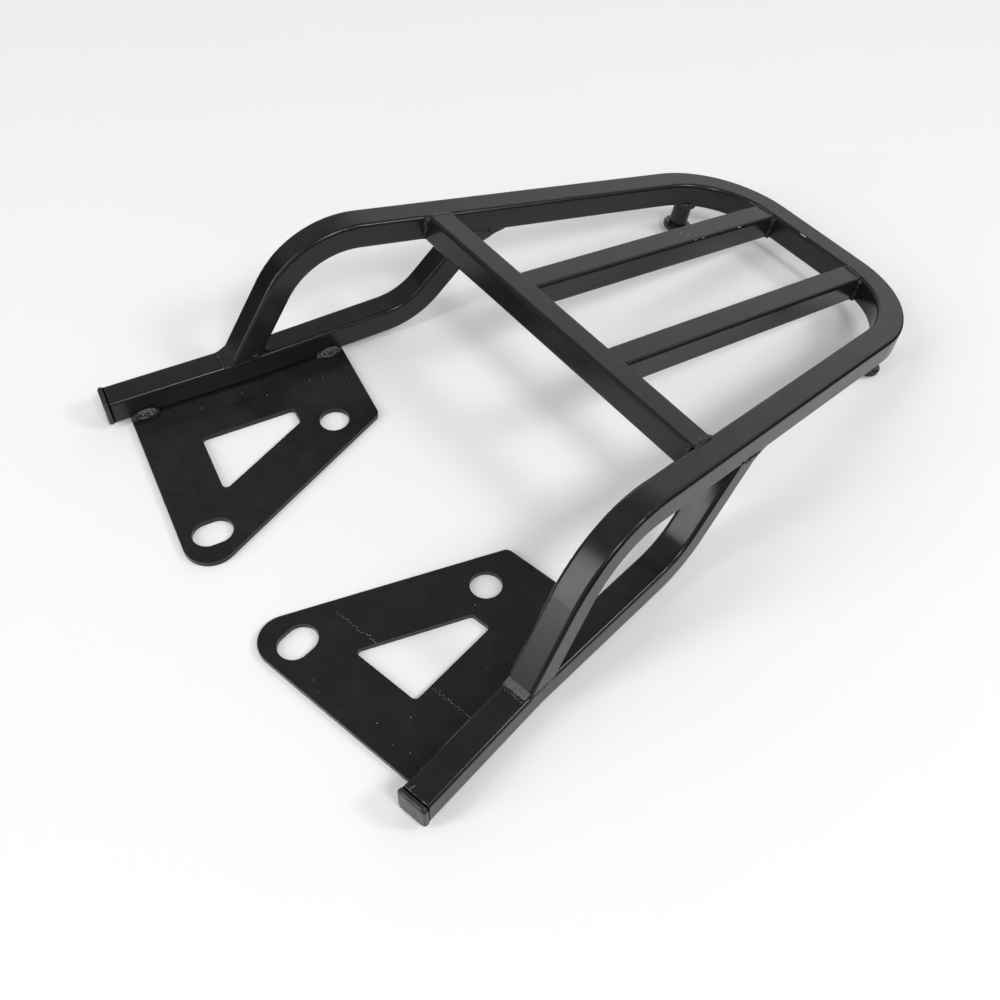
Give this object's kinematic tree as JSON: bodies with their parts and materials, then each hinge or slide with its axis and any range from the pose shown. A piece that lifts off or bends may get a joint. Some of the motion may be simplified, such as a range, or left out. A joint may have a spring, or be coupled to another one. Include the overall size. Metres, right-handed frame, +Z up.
{
  "type": "motorcycle rear luggage rack",
  "caption": "Welded rear luggage rack of bent square steel tube: sloping open deck on bent legs, with flat bolt-on plates and cord pegs.",
  "frame": {"origin": "midway between the two round bolt holes, on the underside of the mounting plates", "axes": "+X to the right when looking along +Y, +Y along the rack from the capped rail ends towards the rear bar, +Z up from the plates to the deck"},
  "size_m": [0.3006, 0.4112, 0.0838],
  "materials": {
    "tube_paint": "satin black paint on steel tube",
    "plate_paint": "satin black paint on steel plate",
    "weld_paint": "satin black paint over weld beads",
    "cap_plastic": "matt black moulded plastic"
  },
  "bodies": {
    "root": {"deck_hoop": "tube_paint", "left_lower_rail": "tube_paint", "right_lower_rail": "tube_paint", "front_crossbar": "tube_paint", "left_deck_bar": "tube_paint", "right_deck_bar": "tube_paint", "left_mount_plate": "plate_paint", "right_mount_plate": "plate_paint", "left_end_cap": "cap_plastic", "right_end_cap": "cap_plastic", "left_cargo_peg": "tube_paint", "right_cargo_peg": "tube_paint", "left_leg_weld": "weld_paint", "right_leg_weld": "weld_paint", "left_brace_weld": "weld_paint", "right_brace_weld": "weld_paint", "crossbar_weld": "weld_paint", "deck_bar_front_weld": "weld_paint", "deck_bar_rear_weld": "weld_paint", "left_plate_weld": "weld_paint", "right_plate_weld": "weld_paint", "peg_weld": "weld_paint"}
  },
  "joints": []
}
